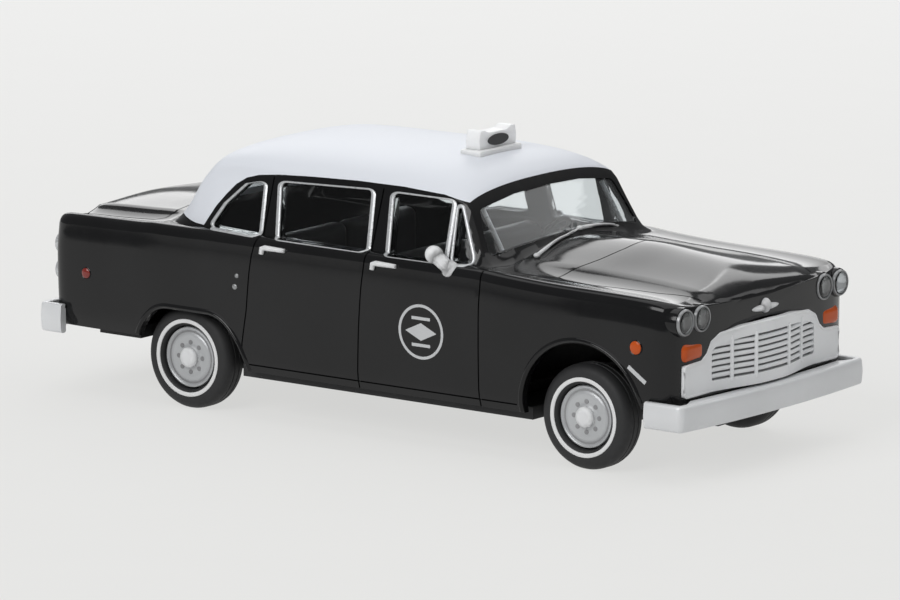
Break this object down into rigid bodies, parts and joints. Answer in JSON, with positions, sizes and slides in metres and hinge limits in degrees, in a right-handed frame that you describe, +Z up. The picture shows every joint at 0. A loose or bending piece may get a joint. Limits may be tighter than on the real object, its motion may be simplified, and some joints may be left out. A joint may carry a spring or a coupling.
{
  "type": "scale model car",
  "caption": "Small plastic scale model of a 1960s taxi sedan, gloss black with a white roof, silver bumpers and grille, a roof sign and wheels that roll.",
  "frame": {"origin": "on the ground below the middle of the model's box", "axes": "+X forward, towards the grille; +Y to the car's left; +Z up"},
  "size_m": [0.0582, 0.0222, 0.0211],
  "materials": {
    "black_body": "gloss",
    "white_roof": "satin",
    "clear": "clear",
    "dark_plastic": "matte",
    "interior": "matte",
    "silver_plastic": "satin metallic",
    "lens": "clear",
    "amber": "gloss",
    "red": "gloss",
    "sign": "satin",
    "axle": "bright",
    "tyre": "matte"
  },
  "bodies": {
    "car": {"body_shell": "black_body", "roof": "white_roof", "windscreen": "clear", "rear_window": "clear", "side_panes_left": "clear", "side_panes_right": "clear", "chassis": "dark_plastic", "exhaust": "dark_plastic", "interior": "interior", "steering_wheel": "dark_plastic", "front_bumper": "silver_plastic", "rear_bumper": "silver_plastic", "grille": "silver_plastic", "headlamp_bezels_left": "silver_plastic", "headlamp_bezels_right": "silver_plastic", "headlamp_lenses_left": "lens", "headlamp_lenses_right": "lens", "turn_signal_left": "amber", "turn_signal_right": "amber", "front_marker_left": "amber", "front_marker_right": "amber", "rear_marker_left": "red", "rear_marker_right": "red", "tail_lamps_left": "red", "tail_lamps_right": "red", "door_handles_left": "silver_plastic", "door_handles_right": "silver_plastic", "mirror_right": "silver_plastic", "hood_stud": "silver_plastic", "roof_sign": "sign"},
    "front_wheels": {"front_axle": "axle", "tyre_front_left": "tyre", "tyre_front_right": "tyre", "wheel_disc_front_left": "silver_plastic", "wheel_disc_front_right": "silver_plastic"},
    "rear_wheels": {"rear_axle": "axle", "tyre_rear_left": "tyre", "tyre_rear_right": "tyre", "wheel_disc_rear_left": "silver_plastic", "wheel_disc_rear_right": "silver_plastic"}
  },
  "joints": [
    {"name": "front_axle_roll", "type": "hinge", "parent": "car", "child": "front_wheels", "pos_m": [0.0194, 0, 0.00372], "axis": [0, 1, 0], "continuous": true},
    {"name": "rear_axle_roll", "type": "hinge", "parent": "car", "child": "rear_wheels", "pos_m": [-0.0156, 0, 0.00372], "axis": [0, 1, 0], "continuous": true}
  ]
}
